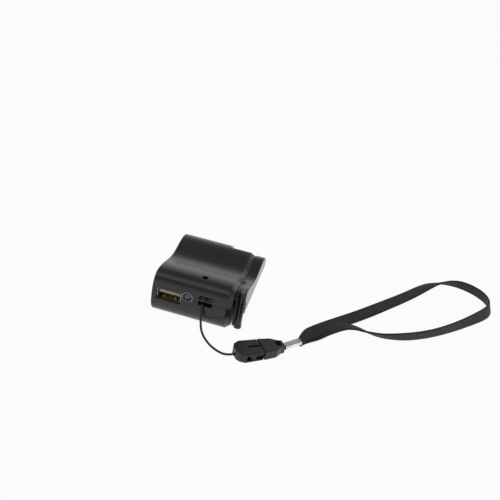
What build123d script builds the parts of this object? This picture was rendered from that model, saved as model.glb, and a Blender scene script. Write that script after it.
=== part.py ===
from build123d import *
import os
from math import acos, cos, pi, radians, sin, tan

os.makedirs("parts", exist_ok=True)

# Hand cranked phone charger. Millimetres, +Z up.
# X runs from the closed end to the crank end, -Y is the face with the socket.
# The origin is on the resting face, under the middle of the body with its crank.

# ---- Driving sizes: body ----
BODY_LENGTH = 43.0
BODY_DEPTH = 58.5
FRONT_LOBE_HEIGHT = 25.9
BACK_LOBE_HEIGHT = 25.7
VALLEY_HEIGHT = 22.7
FRONT_LOBE_Y = -20.5
BACK_LOBE_Y = 18.4
VALLEY_Y = 1.0
SIDE_HEIGHT = 12.2            # level at which the body is deepest
RESTING_FLAT = 28.0           # flat strip under the body, along Y
WALL = 1.8
CLOSED_RIM = 0.7              # rounding round the closed end
CRANK_RIM = 2.3               # bevel round the crank end
SEAM_GAP = 0.2                # shadow line between the two shells
SEAM_FRONT_Z = 16.6
SEAM_VALLEY_Z = 10.4
SEAM_BACK_Z = 11.6

# ---- Driving sizes: crank ----
CRANK_REACH = 5.7             # crank's outer face beyond the body
END_CLEARANCE = 0.4           # running gap beside the end wall
HUB_PLATE = 1.0
ARM_GAP = 0.2                 # between the hub's plate and the arm
SHAFT_RADIUS = 2.0
SHAFT_Y = -15.2
SHAFT_BELOW_MIDDLE = 0.35     # below half the back lobe's height
RUNNING_FIT = 0.06            # radial gap round a shaft or pin
HINGE_PIN_RADIUS = 1.0
HINGE_HEAD_RADIUS = 1.5
HINGE_Y = -20.5
KNUCKLE_FOOT = 2.2            # lowest level of the hinge barrel
KNUCKLE_SPLIT = 17.6          # level where the arm's barrel starts
KNUCKLE_TOP = 23.9
KNUCKLE_GAP = 0.25
KNUCKLE_RIB = 0.15            # ribs stand this far out of the barrel
HINGE_RELIEF = 3.0            # radius cut out of the arm round the hub's barrel
ARM_BOTTOM_FRONT = 9.5
ARM_BOTTOM_BACK = 16.4
ARM_INSET = 1.8               # arm's edge inside the body's outline
KNOB_LENGTH = 14.0
KNOB_RADIUS = 2.75
KNOB_RIBS = 14
KNOB_Y = 24.9
KNOB_Z = 18.4
KNOB_PIN_RADIUS = 1.0
KNOB_PIN_COVER = 1.4          # arm left over the pin's blind end
HUB_REACH = 8.0               # hub's plate beyond the shaft
CIRCLIP = 0.4
POCKET_CLEARANCE = 0.5        # round the knob's path, so that the folded crank turns too
POCKET_WALL = 1.4

# ---- Driving sizes: gears and generator ----
MODULE = 0.5
DRIVE_TEETH = 36
WHEEL_TEETH = 32
PINION_TEETH = 10
GEAR_WIDTH = 2.5
PINION_WIDTH = 3.0
LAYER_GAP = 0.8
AXLE_RADIUS = 1.0
PLATE_THICKNESS = 1.6
PLATE_MARGIN = 6.5            # plate beyond the first axle
PLATE_BACK = 2.6              # plate beyond the generator's shaft
NOSE_RADIUS = 3.0             # generator's boss in the plate
CAN_LENGTH = 18.0
CAN_CLEARANCE = 0.7
CAN_FLAT = 15.0
CAN_WALL = 0.8
ROTOR_RADIUS = 5.8

# ---- Driving sizes: socket, lamps, board and lanyard eye ----
SOCKET_FROM_CLOSED_END = 9.4
SOCKET_Z = 15.2
SOCKET_WIDTH = 13.1
SOCKET_HEIGHT = 5.7
SOCKET_LENGTH = 14.0
SOCKET_SHEET = 0.3
TONGUE_WIDTH = 11.1
TONGUE_THICKNESS = 1.84
CONTACT_PITCHES = (-3.5, -1.0, 1.0, 3.5)
TORCH_FROM_CLOSED_END = 19.5
TORCH_Z = 17.4
LAMP_RADIUS = 2.5
TORCH_RING = 0.5
EYE_FROM_CLOSED_END = 29.4
EYE_Z = 17.6
EYE_WIDTH = 7.6
EYE_HEIGHT = 5.2
EYE_DEPTH = 3.0
EYE_BAR = 1.3
INDICATOR_FROM_CLOSED_END = 25.2
INDICATOR_Y = -19.0
INDICATOR_RADIUS = 1.5
BOARD_THICKNESS = 1.2
BOARD_POST_RADIUS = 1.6
BOARD_POST_FROM_FRONT = 7.25
SCREW_RADIUS = 1.0
SCREW_HEAD_RADIUS = 1.9
BOSS_RADIUS = 2.4
BOSS_MEET = 8.0

# ---- Driving sizes: lanyard ----
CORD_RADIUS = 0.6
BUCKLE_WIDTH = 12.6
BUCKLE_THICKNESS = 5.2
BUCKLE_SOCKET_LENGTH = 14.2
BUCKLE_PLUG_LENGTH = 13.0
BUCKLE_ANGLE = 36.5
FERRULE_LENGTH = 10.6
FERRULE_WIDTH = 4.2
FERRULE_THICKNESS = 2.6
FERRULE_ANGLE = 50.0
STRAP_WIDTH = 9.0
STRAP_THICKNESS = 1.1

# ---- Places worked out from the sizes ----
CLOSED_END = -(BODY_LENGTH + CRANK_REACH) / 2
CRANK_END = CLOSED_END + BODY_LENGTH
FRONT_Y = -BODY_DEPTH / 2
BACK_Y = BODY_DEPTH / 2
CASE_TOP = max(FRONT_LOBE_HEIGHT, BACK_LOBE_HEIGHT)
INNER_CRANK_END = CRANK_END - WALL
INNER_CLOSED_END = CLOSED_END + WALL
HUB_FACE = CRANK_END + END_CLEARANCE
HUB_OUTER = HUB_FACE + HUB_PLATE
ARM_OUTER = CRANK_END + CRANK_REACH
HINGE_X = (HUB_OUTER + ARM_GAP + ARM_OUTER) / 2
KNUCKLE_RADIUS = ARM_OUTER - HINGE_X - KNUCKLE_RIB
KNOB_START = CRANK_END + END_CLEARANCE - 0.2
KNOB_END = KNOB_START - KNOB_LENGTH
POCKET_END = KNOB_END - POCKET_CLEARANCE
SHAFT_Z = BACK_LOBE_HEIGHT / 2 - SHAFT_BELOW_MIDDLE
KNOB_SWING = ((KNOB_Y - SHAFT_Y) ** 2 + (KNOB_Z - SHAFT_Z) ** 2) ** 0.5
POCKET_SWING = KNOB_SWING - KNOB_RADIUS - POCKET_CLEARANCE
CAN_RADIUS = SHAFT_Z - WALL - CAN_CLEARANCE
SOCKET_X = CLOSED_END + SOCKET_FROM_CLOSED_END
TORCH_X = CLOSED_END + TORCH_FROM_CLOSED_END
EYE_X = CLOSED_END + EYE_FROM_CLOSED_END
INDICATOR_X = CLOSED_END + INDICATOR_FROM_CLOSED_END
SOCKET_FRONT = FRONT_Y + 1.3
BOARD_TOP = SOCKET_Z - SOCKET_HEIGHT / 2 - 0.1
BOARD_POST_Y = FRONT_Y + BOARD_POST_FROM_FRONT
DRIVE_RADIUS = MODULE * DRIVE_TEETH / 2
WHEEL_RADIUS = MODULE * WHEEL_TEETH / 2
PINION_RADIUS = MODULE * PINION_TEETH / 2
FIRST_Y = SHAFT_Y + DRIVE_RADIUS + PINION_RADIUS
SECOND_Y = FIRST_Y + WHEEL_RADIUS + PINION_RADIUS
ROTOR_Y = SECOND_Y + WHEEL_RADIUS + PINION_RADIUS
DRIVE_X = INNER_CRANK_END - 1.3 - PINION_WIDTH
FIRST_WHEEL_X = DRIVE_X - LAYER_GAP - GEAR_WIDTH
SECOND_WHEEL_X = FIRST_WHEEL_X - LAYER_GAP - GEAR_WIDTH
PLATE_X = POCKET_END - POCKET_WALL - 0.1 - PLATE_THICKNESS
CAN_X = PLATE_X - CAN_LENGTH
PLATE_TOP = SHAFT_Z + 8.0
SCREW_PLACES = (
    (CLOSED_END + 4.9, -7.0),
    (CLOSED_END + 4.4, 19.0),
    (INNER_CRANK_END - 3.6, 16.4),
    (EYE_X + 3.0, -20.6),
)


def save(shape, name):
    """Write one node."""
    export_step(shape, f"parts/{name}.step")


def on_x(sketch, x):
    """Place a sketch drawn in (Y, Z) on the plane at x, facing +X."""
    return Plane(origin=(x, 0, 0), x_dir=(0, 1, 0), z_dir=(1, 0, 0)) * sketch


def rod(x0, x1, y, z, radius):
    """Round bar along X."""
    return extrude(on_x(Pos(y, z) * Circle(radius), x0), x1 - x0)


def rod_z(x, y, z0, z1, radius):
    """Round bar along Z."""
    return Pos(x, y, z0) * extrude(Circle(radius), z1 - z0)


def rod_y(x, z, y0, y1, radius):
    """Round bar along Y, from y0 towards y1."""
    disc = Plane(origin=(x, y0, z), x_dir=(1, 0, 0), z_dir=(0, 1, 0)) * Circle(radius)
    return extrude(disc, y1 - y0)


def block(x0, x1, y0, y1, z0, z1):
    """Box between two corners."""
    size = (x1 - x0, y1 - y0, z1 - z0)
    centre = ((x0 + x1) / 2, (y0 + y1) / 2, (z0 + z1) / 2)
    return Pos(*centre) * Box(*size)


def body_outline(inset=0.0):
    """Wave shaped cross-section in (Y, Z), set in from the outside by inset."""
    flat = RESTING_FLAT / 2
    nodes = [
        ((flat, inset), (1, 0)),
        ((BACK_Y - inset, SIDE_HEIGHT), (0, 1)),
        ((BACK_LOBE_Y, BACK_LOBE_HEIGHT - inset), (-1, 0)),
        ((VALLEY_Y, VALLEY_HEIGHT - inset), (-1, 0)),
        ((FRONT_LOBE_Y, FRONT_LOBE_HEIGHT - inset), (-1, 0)),
        ((FRONT_Y + inset, SIDE_HEIGHT), (0, -1)),
        ((-flat, inset), (1, 0)),
    ]
    edges = [Line((-flat, inset), (flat, inset))]
    for (start, start_dir), (end, end_dir) in zip(nodes, nodes[1:]):
        edges.append(Spline(start, end, tangents=(start_dir, end_dir)))
    return make_face(Curve() + edges)


def seam_cutter(drop=0.0):
    """Everything above the joint between the shells, lowered by drop."""
    reach = BODY_DEPTH
    seam = Spline(
        (-reach, SEAM_FRONT_Z - drop),
        (FRONT_Y, SEAM_FRONT_Z - drop),
        (FRONT_LOBE_Y + 3.5, SEAM_FRONT_Z - 3.6 - drop),
        (VALLEY_Y - 6.0, SEAM_VALLEY_Z - drop),
        (BACK_LOBE_Y - 5.4, SEAM_BACK_Z - drop),
        (BACK_LOBE_Y + 1.2, SEAM_BACK_Z - 4.4 - drop),
        (BACK_Y - 2.4, -drop),
        tangents=((1, 0), (0.9, -1)),
    )
    top = 2 * FRONT_LOBE_HEIGHT
    fence = Polyline(seam @ 1, (BACK_Y - 2.4, -5), (reach, -5), (reach, top), (-reach, top), seam @ 0)
    area = make_face(Curve() + [seam, fence])
    return extrude(on_x(area, CLOSED_END - 5), BODY_LENGTH + 10)


def body_solid():
    """Outer form of both shells, with its rounded and bevelled ends."""
    solid = extrude(on_x(body_outline(), CLOSED_END), BODY_LENGTH)
    solid = fillet(solid.faces().sort_by(Axis.X)[0].edges(), CLOSED_RIM)
    return chamfer(solid.faces().sort_by(Axis.X)[-1].edges(), CRANK_RIM, CRANK_RIM * 0.8)


def body_cavity():
    """Space inside the walls."""
    return extrude(on_x(body_outline(WALL), INNER_CLOSED_END), BODY_LENGTH - 2 * WALL)


def pocket(extra=0.0):
    """Open corner that the folded knob lies in. Its wall follows the knob's circle round the shaft."""
    corner = block(POCKET_END - extra, CRANK_END + 5, 0, BACK_Y + 5, -5, 2 * FRONT_LOBE_HEIGHT)
    return corner - rod(CLOSED_END, CRANK_END + 6, SHAFT_Y, SHAFT_Z, POCKET_SWING - extra)


def eye_block(extra=0.0):
    """Recess behind the lanyard bar."""
    half = EYE_WIDTH / 2 + extra
    rise = EYE_HEIGHT / 2 + extra
    return block(EYE_X - half, EYE_X + half, FRONT_Y - 2, FRONT_Y + EYE_DEPTH + extra, EYE_Z - rise, EYE_Z + rise)


def upper_bosses():
    """Posts that the screws bite in."""
    posts = []
    for x, y in SCREW_PLACES:
        posts.append(rod_z(x, y, BOSS_MEET, CASE_TOP, BOSS_RADIUS - 0.2))
    return Part() + posts


def make_shells():
    """Upper and lower shell, parted along the seam."""
    outer = body_solid()
    cavity = body_cavity()
    wall = (outer - cavity) + (pocket(POCKET_WALL) & outer) - pocket()
    socket_hole = block(
        SOCKET_X - SOCKET_WIDTH / 2 - 0.2, SOCKET_X + SOCKET_WIDTH / 2 + 0.2, FRONT_Y - 2, FRONT_Y + 6,
        SOCKET_Z - SOCKET_HEIGHT / 2 - 0.2, SOCKET_Z + SOCKET_HEIGHT / 2 + 0.2,
    )
    torch_hole = rod_y(TORCH_X, TORCH_Z, FRONT_Y - 2, FRONT_Y + 6, LAMP_RADIUS + TORCH_RING + 0.02)
    bush_hole = rod(INNER_CRANK_END - 1, CRANK_END + 1, SHAFT_Y, SHAFT_Z, SHAFT_RADIUS + 1.5)
    lamp_hole = rod_z(INDICATOR_X, INDICATOR_Y, SIDE_HEIGHT, 2 * FRONT_LOBE_HEIGHT, INDICATOR_RADIUS + 0.15)
    bar = rod(EYE_X - EYE_WIDTH / 2 - 1, EYE_X + EYE_WIDTH / 2 + 1, FRONT_Y + 1.1, EYE_Z, EYE_BAR / 2)
    axle_holes = [
        rod(INNER_CRANK_END - 1, INNER_CRANK_END + 1.0, y, SHAFT_Z, AXLE_RADIUS) for y in (FIRST_Y, SECOND_Y)
    ]

    upper = wall & seam_cutter()
    upper += (upper_bosses() & outer) - pocket()
    upper += (eye_block(1.0) & outer) - eye_block()
    upper = upper - eye_block() + (bar & outer)
    for x, y in SCREW_PLACES:
        upper -= rod_z(x, y, 0, BOSS_MEET + 7, SCREW_RADIUS)
    upper = upper - socket_hole - torch_hole - bush_hole - lamp_hole - axle_holes

    lower = wall - seam_cutter(SEAM_GAP)
    for x, y in SCREW_PLACES:
        lower += rod_z(x, y, 0.8, BOSS_MEET, BOSS_RADIUS) & outer
        lower -= rod_z(x, y, -1, BOSS_MEET + 1, SCREW_RADIUS + 0.1)
        lower -= rod_z(x, y, -1, 2.2, SCREW_HEAD_RADIUS + 0.2)
    for x in (INNER_CLOSED_END + 2.2, SOCKET_X + 13):
        lower += rod_z(x, BOARD_POST_Y, 1, BOARD_TOP - BOARD_THICKNESS, BOARD_POST_RADIUS) & outer
    lower = lower - socket_hole - torch_hole - bush_hole - axle_holes
    lower = lower - eye_block(1.05) - pocket()
    return upper, lower


def gear(teeth, x0, width, y, phase, bore):
    """Spur gear about an axis along X, with involute flanks. phase is in degrees from +Y."""
    pitch = MODULE * teeth / 2
    base = pitch * cos(radians(20))
    tip = pitch + 0.9 * MODULE
    root = pitch - 1.2 * MODULE
    half_at_pitch = 0.44 * pi / teeth

    def involute(radius):
        """Angle rolled off the base circle at this radius."""
        pressure = acos(min(1.0, base / radius))
        return tan(pressure) - pressure

    radii = [max(base, root), pitch, (pitch + tip) / 2, tip]
    halves = [half_at_pitch + involute(pitch) - involute(r) for r in radii]
    foot = halves[0] + 0.02
    side = list(zip(radii, halves))
    points = []
    for k in range(teeth):
        centre = radians(phase) + 2 * pi * k / teeth
        points.append((root - 0.01, centre - foot))
        points += [(r, centre - half) for r, half in side]
        points += [(r, centre + half) for r, half in reversed(side)]
        points.append((root - 0.01, centre + foot))
    outline = [(r * cos(a), r * sin(a)) for r, a in points]
    profile = make_face(Polyline(*outline, close=True)) - Circle(bore)
    return extrude(on_x(Pos(y, SHAFT_Z) * profile, x0), width)


def make_crank_hub():
    """Shaft, lobe shaped plate and the tall lower barrel of the hinge."""
    outline = body_outline(ARM_INSET)
    reach = SHAFT_Y + HUB_REACH
    keep = Pos((HINGE_Y + reach) / 2, FRONT_LOBE_HEIGHT / 2) * Rectangle(reach - HINGE_Y, 2 * FRONT_LOBE_HEIGHT)
    plate = extrude(on_x(outline & keep, HUB_FACE), HUB_PLATE)
    plate = fillet(plate.edges().filter_by(Axis.X).group_by(Axis.Y)[-1], 2.0)
    plate -= rod_z(
        HINGE_X, HINGE_Y, KNUCKLE_SPLIT, 2 * FRONT_LOBE_HEIGHT, KNUCKLE_RADIUS + KNUCKLE_RIB + KNUCKLE_GAP
    )
    shaft = rod(DRIVE_X - CIRCLIP - 0.2, HUB_FACE + 0.1, SHAFT_Y, SHAFT_Z, SHAFT_RADIUS)
    shaft -= circlip_ring(SHAFT_RADIUS + 1)
    barrel = rod_z(HINGE_X, HINGE_Y, KNUCKLE_FOOT, KNUCKLE_SPLIT, KNUCKLE_RADIUS)
    web = block(HUB_FACE, HINGE_X, HINGE_Y, HINGE_Y + 1.2, KNUCKLE_FOOT, KNUCKLE_SPLIT)
    rib_levels = (KNUCKLE_FOOT, KNUCKLE_FOOT + 1.6, KNUCKLE_SPLIT - 2.6, KNUCKLE_SPLIT - 0.5)
    ribs = [rod_z(HINGE_X, HINGE_Y, z, z + 0.5, KNUCKLE_RADIUS + KNUCKLE_RIB) for z in rib_levels]
    hub = plate + shaft + barrel + web + ribs
    return hub - rod_z(HINGE_X, HINGE_Y, KNUCKLE_FOOT + 1.0, KNUCKLE_TOP, HINGE_PIN_RADIUS)


def make_crank_arm():
    """Tapered arm with a wave shaped top edge and the hinge's upper barrel."""
    end = KNOB_Y + KNOB_RADIUS + 0.6
    top = 2 * FRONT_LOBE_HEIGHT
    side = body_outline(ARM_INSET) & make_face(
        Polyline((HINGE_Y, ARM_BOTTOM_FRONT), (end, ARM_BOTTOM_BACK), (end, top), (HINGE_Y, top), close=True)
    )
    arm = extrude(on_x(side, HUB_OUTER + ARM_GAP), ARM_OUTER - HUB_OUTER - ARM_GAP)
    pad_start = SHAFT_Y + HUB_REACH + 0.6
    pad = side & Pos(pad_start + BODY_DEPTH / 2, top / 2) * Rectangle(BODY_DEPTH, top)
    arm += extrude(on_x(pad, HUB_FACE), HUB_OUTER + ARM_GAP + 0.1 - HUB_FACE)
    arm = fillet(arm.edges().filter_by(Axis.X).group_by(Axis.Y)[-1], 1.2)
    arm -= rod_z(HINGE_X, HINGE_Y, 0, KNUCKLE_SPLIT + KNUCKLE_GAP, HINGE_RELIEF)
    arm += rod_z(HINGE_X, HINGE_Y, KNUCKLE_SPLIT + KNUCKLE_GAP, KNUCKLE_TOP, KNUCKLE_RADIUS)
    arm += rod_z(HINGE_X, HINGE_Y, KNUCKLE_SPLIT + 3.0, KNUCKLE_SPLIT + 3.5, KNUCKLE_RADIUS + KNUCKLE_RIB)
    arm -= rod_z(HINGE_X, HINGE_Y, 0, top, HINGE_PIN_RADIUS + RUNNING_FIT)
    arm -= rod_z(HINGE_X, HINGE_Y, KNUCKLE_TOP, top, HINGE_HEAD_RADIUS + 0.3)
    return arm - rod(KNOB_START - 1, ARM_OUTER - KNOB_PIN_COVER, KNOB_Y, KNOB_Z, KNOB_PIN_RADIUS)


def make_hinge_pin():
    """Pin with a domed head, driven down through both barrels."""
    pin = rod_z(HINGE_X, HINGE_Y, KNUCKLE_FOOT + 1.0, KNUCKLE_TOP + 0.1, HINGE_PIN_RADIUS)
    head = rod_z(HINGE_X, HINGE_Y, KNUCKLE_TOP + 0.1, KNUCKLE_TOP + 0.8, HINGE_HEAD_RADIUS)
    return pin + fillet(head.edges().group_by(Axis.Z)[-1], 0.4)


def make_knob():
    """Ribbed grip with a bore for its pin and a recess for the pin's head."""
    grip = rod(KNOB_END, KNOB_START, KNOB_Y, KNOB_Z, KNOB_RADIUS - 0.25)
    grip = fillet(grip.edges().group_by(Axis.X)[0], 0.9)
    start = KNOB_END + 1.4
    for k in range(KNOB_RIBS):
        angle = 2 * pi * k / KNOB_RIBS
        y = KNOB_Y + (KNOB_RADIUS - 0.4) * cos(angle)
        z = KNOB_Z + (KNOB_RADIUS - 0.4) * sin(angle)
        grip += rod(start, KNOB_START - 1.2, y, z, 0.4)
    grip -= rod(KNOB_END - 1, KNOB_END + 1.2, KNOB_Y, KNOB_Z, KNOB_PIN_RADIUS + 0.75)
    return grip - rod(KNOB_END - 1, KNOB_START + 1, KNOB_Y, KNOB_Z, KNOB_PIN_RADIUS + RUNNING_FIT)


def make_knob_pin():
    """Shouldered pin from the arm through the knob."""
    pin = rod(KNOB_END + 0.4, ARM_OUTER - KNOB_PIN_COVER, KNOB_Y, KNOB_Z, KNOB_PIN_RADIUS)
    return pin + rod(KNOB_END + 0.3, KNOB_END + 1.1, KNOB_Y, KNOB_Z, KNOB_PIN_RADIUS + 0.6)


def make_bush():
    """Flanged sleeve in the end wall, round the crank's shaft."""
    sleeve = rod(INNER_CRANK_END - 0.8, CRANK_END, SHAFT_Y, SHAFT_Z, SHAFT_RADIUS + 1.5)
    flange = rod(INNER_CRANK_END - 0.8, INNER_CRANK_END, SHAFT_Y, SHAFT_Z, SHAFT_RADIUS + 2.6)
    return sleeve + flange - rod(CLOSED_END, ARM_OUTER, SHAFT_Y, SHAFT_Z, SHAFT_RADIUS + RUNNING_FIT)


def circlip_ring(radius):
    """Ring of this outer radius in the shaft's groove."""
    ring = rod(DRIVE_X - CIRCLIP, DRIVE_X, SHAFT_Y, SHAFT_Z, radius)
    return ring - rod(DRIVE_X - 1, DRIVE_X + 1, SHAFT_Y, SHAFT_Z, SHAFT_RADIUS - CIRCLIP)


def make_circlip():
    """Open ring in the shaft's groove, behind the drive gear."""
    mouth = block(DRIVE_X - 1, DRIVE_X + 1, SHAFT_Y, SHAFT_Y + 9, SHAFT_Z - 0.9, SHAFT_Z + 0.9)
    return circlip_ring(SHAFT_RADIUS + 1.1) - mouth


def make_drive_gear():
    """Large gear on the crank's shaft, with a hub and lightening holes."""
    wheel = gear(DRIVE_TEETH, DRIVE_X, PINION_WIDTH, SHAFT_Y, 0, SHAFT_RADIUS)
    for k in range(6):
        angle = radians(60 * k + 30)
        y = SHAFT_Y + 0.6 * DRIVE_RADIUS * cos(angle)
        z = SHAFT_Z + 0.6 * DRIVE_RADIUS * sin(angle)
        wheel -= rod(DRIVE_X - 1, DRIVE_X + PINION_WIDTH + 1, y, z, 1.5)
    return wheel


def make_compound_gear(wheel_x, pinion_x, y):
    """Wheel and pinion moulded in one, with a hub between them."""
    bore = AXLE_RADIUS + RUNNING_FIT
    wheel = gear(WHEEL_TEETH, wheel_x, GEAR_WIDTH, y, 0, bore)
    pinion = gear(PINION_TEETH, pinion_x, PINION_WIDTH, y, 180 + 180 / PINION_TEETH, bore)
    hub = rod(wheel_x + GEAR_WIDTH, pinion_x, y, SHAFT_Z, PINION_RADIUS - 0.7) - rod(
        wheel_x, pinion_x + 1, y, SHAFT_Z, bore
    )
    return wheel + pinion + hub


def make_gear_plate():
    """Plate that holds the gears' axles and the generator's nose, standing on the lower shell."""
    front = FIRST_Y - PLATE_MARGIN
    back = ROTOR_Y + PLATE_BACK
    plate = block(PLATE_X, PLATE_X + PLATE_THICKNESS, front, back, 0, PLATE_TOP)
    plate = plate & extrude(on_x(body_outline(WALL), PLATE_X), PLATE_THICKNESS)
    plate -= [rod(PLATE_X - 1, PLATE_X + 3, y, SHAFT_Z, AXLE_RADIUS) for y in (FIRST_Y, SECOND_Y)]
    middle = (FIRST_Y + SECOND_Y) / 2
    plate -= [rod(PLATE_X - 1, PLATE_X + 3, middle, z, 2.6) for z in (SHAFT_Z - 5.5, SHAFT_Z + 4.2)]
    return plate - rod(PLATE_X - 1, PLATE_X + 3, ROTOR_Y, SHAFT_Z, NOSE_RADIUS + 0.1)


def can_section(inset):
    """Round section with two flats, in (Y, Z)."""
    disc = Circle(CAN_RADIUS - inset) & Rectangle(CAN_FLAT - 2 * inset, 2 * CAN_RADIUS)
    return Pos(ROTOR_Y, SHAFT_Z) * disc


def make_generator():
    """Can, end cap, magnets and wound rotor."""
    can = extrude(on_x(can_section(0), CAN_X), CAN_LENGTH)
    can -= extrude(on_x(can_section(CAN_WALL), CAN_X - 1), CAN_LENGTH - CAN_WALL + 1)
    nose = rod(PLATE_X, PLATE_X + 1.3, ROTOR_Y, SHAFT_Z, NOSE_RADIUS)
    shaft_hole = rod(CAN_X - 5, PLATE_X + 3, ROTOR_Y, SHAFT_Z, AXLE_RADIUS + RUNNING_FIT)
    can = can + nose - shaft_hole
    cap = extrude(on_x(can_section(CAN_WALL), CAN_X), 1.6)
    cap += rod(CAN_X - 0.8, CAN_X, ROTOR_Y, SHAFT_Z, 2.6)
    cap -= shaft_hole
    ring = rod(CAN_X + 4.5, PLATE_X - CAN_WALL - 2.2, ROTOR_Y, SHAFT_Z, CAN_FLAT / 2 - CAN_WALL)
    ring -= rod(CAN_X, PLATE_X, ROTOR_Y, SHAFT_Z, ROTOR_RADIUS + 0.35)
    magnets = ring - block(CAN_X, PLATE_X, ROTOR_Y - 10, ROTOR_Y + 10, SHAFT_Z - 2.2, SHAFT_Z + 2.2)
    rotor = rod(CAN_X - 0.8, SECOND_WHEEL_X + GEAR_WIDTH + 0.4, ROTOR_Y, SHAFT_Z, AXLE_RADIUS)
    core = rod(CAN_X + 5.0, PLATE_X - CAN_WALL - 2.8, ROTOR_Y, SHAFT_Z, ROTOR_RADIUS)
    for k in range(3):
        angle = radians(120 * k + 60)
        y = ROTOR_Y + ROTOR_RADIUS * cos(angle)
        z = SHAFT_Z + ROTOR_RADIUS * sin(angle)
        core -= rod(CAN_X, PLATE_X, y, z, 1.5)
    rotor += core
    rotor += rod(CAN_X + 2.2, CAN_X + 4.2, ROTOR_Y, SHAFT_Z, 2.2)
    return can, cap, magnets, rotor


def make_rotor_pinion():
    """Small gear pressed on the rotor's shaft."""
    return gear(PINION_TEETH, SECOND_WHEEL_X, GEAR_WIDTH, ROTOR_Y, 180 + 180 / PINION_TEETH, AXLE_RADIUS)


def make_gear_axles():
    """Two fixed pins from the gear plate into the end wall."""
    return Part() + [rod(PLATE_X, INNER_CRANK_END + 1.0, y, SHAFT_Z, AXLE_RADIUS) for y in (FIRST_Y, SECOND_Y)]


def make_socket():
    """Folded metal shell, moulded tongue and four contacts."""
    back = SOCKET_FRONT + SOCKET_LENGTH
    half = SOCKET_WIDTH / 2
    top = SOCKET_Z + SOCKET_HEIGHT / 2
    bottom = SOCKET_Z - SOCKET_HEIGHT / 2
    shell = block(SOCKET_X - half, SOCKET_X + half, SOCKET_FRONT, back, bottom, top)
    shell = fillet(shell.edges().filter_by(Axis.Y), 0.6)
    hollow = block(
        SOCKET_X - half + SOCKET_SHEET, SOCKET_X + half - SOCKET_SHEET, SOCKET_FRONT - 1, back - SOCKET_SHEET,
        bottom + SOCKET_SHEET, top - SOCKET_SHEET,
    )
    shell -= hollow
    base = block(
        SOCKET_X - half + SOCKET_SHEET, SOCKET_X + half - SOCKET_SHEET, back - 5.0, back - SOCKET_SHEET,
        bottom + SOCKET_SHEET, top - SOCKET_SHEET,
    )
    tongue_bottom = SOCKET_Z + 0.25
    tongue = block(
        SOCKET_X - TONGUE_WIDTH / 2, SOCKET_X + TONGUE_WIDTH / 2, SOCKET_FRONT + 0.5, back - 4.9,
        tongue_bottom, tongue_bottom + TONGUE_THICKNESS,
    )
    tongue = chamfer(tongue.edges().filter_by(Axis.X).sort_by(Axis.Y)[:2], 0.4)
    contacts = []
    for offset in CONTACT_PITCHES:
        x = SOCKET_X + offset
        contacts.append(
            block(x - 0.5, x + 0.5, SOCKET_FRONT + 1.6, back - 5.0, tongue_bottom - 0.2, tongue_bottom)
        )
    return shell, base + tongue, Part() + contacts


def lamp(x, y, z, axis, radius, length):
    """Round lamp with a domed nose and a collar at its foot, pointing along axis."""
    dome = Pos(0, 0, length - radius) * Sphere(radius)
    stem = extrude(Circle(radius), length - radius)
    collar = extrude(Circle(radius + 0.4), 0.9)
    return Plane(origin=(x, y, z), z_dir=axis) * (stem + dome + collar)


def make_torch():
    """Clear lamp in its bright ring, on the socket's face."""
    length = 8.0
    foot = FRONT_Y + 0.5 + length
    bulb = lamp(TORCH_X, foot, TORCH_Z, (0, -1, 0), LAMP_RADIUS - 0.06, length)
    legs = [
        block(TORCH_X + dx - 0.25, TORCH_X + dx + 0.25, foot, foot + 1.6, BOARD_TOP, TORCH_Z + 0.25)
        for dx in (-1.27, 1.27)
    ]
    legs = [leg - block(TORCH_X - 3, TORCH_X + 3, foot, foot + 1.1, BOARD_TOP - 1, TORCH_Z - 0.25) for leg in legs]
    ring = rod_y(TORCH_X, TORCH_Z, FRONT_Y + 0.35, FRONT_Y + 3.2, LAMP_RADIUS + TORCH_RING)
    ring -= rod_y(TORCH_X, TORCH_Z, FRONT_Y - 1, FRONT_Y + 4, LAMP_RADIUS)
    return bulb + legs, ring


def make_indicator():
    """Small lamp standing on the board, with its nose in the top's hole."""
    length = 6.0
    foot = FRONT_LOBE_HEIGHT - 1.4 - length
    bulb = lamp(INDICATOR_X, INDICATOR_Y, foot, (0, 0, 1), INDICATOR_RADIUS, length)
    legs = [
        block(INDICATOR_X - 0.25, INDICATOR_X + 0.25, INDICATOR_Y + dy - 0.25, INDICATOR_Y + dy + 0.25, BOARD_TOP, foot)
        for dy in (-0.9, 0.9)
    ]
    return bulb + legs


def make_board():
    """Circuit board with a hole for the screw post."""
    board = block(
        INNER_CLOSED_END + 0.4, PLATE_X - 0.3, FRONT_Y + WALL + 1.2, ROTOR_Y - CAN_FLAT / 2 - 1.0,
        BOARD_TOP - BOARD_THICKNESS, BOARD_TOP,
    )
    x, y = SCREW_PLACES[0]
    return board - rod_z(x, y, 0, 2 * BOARD_TOP, BOSS_RADIUS + 0.4)


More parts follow.
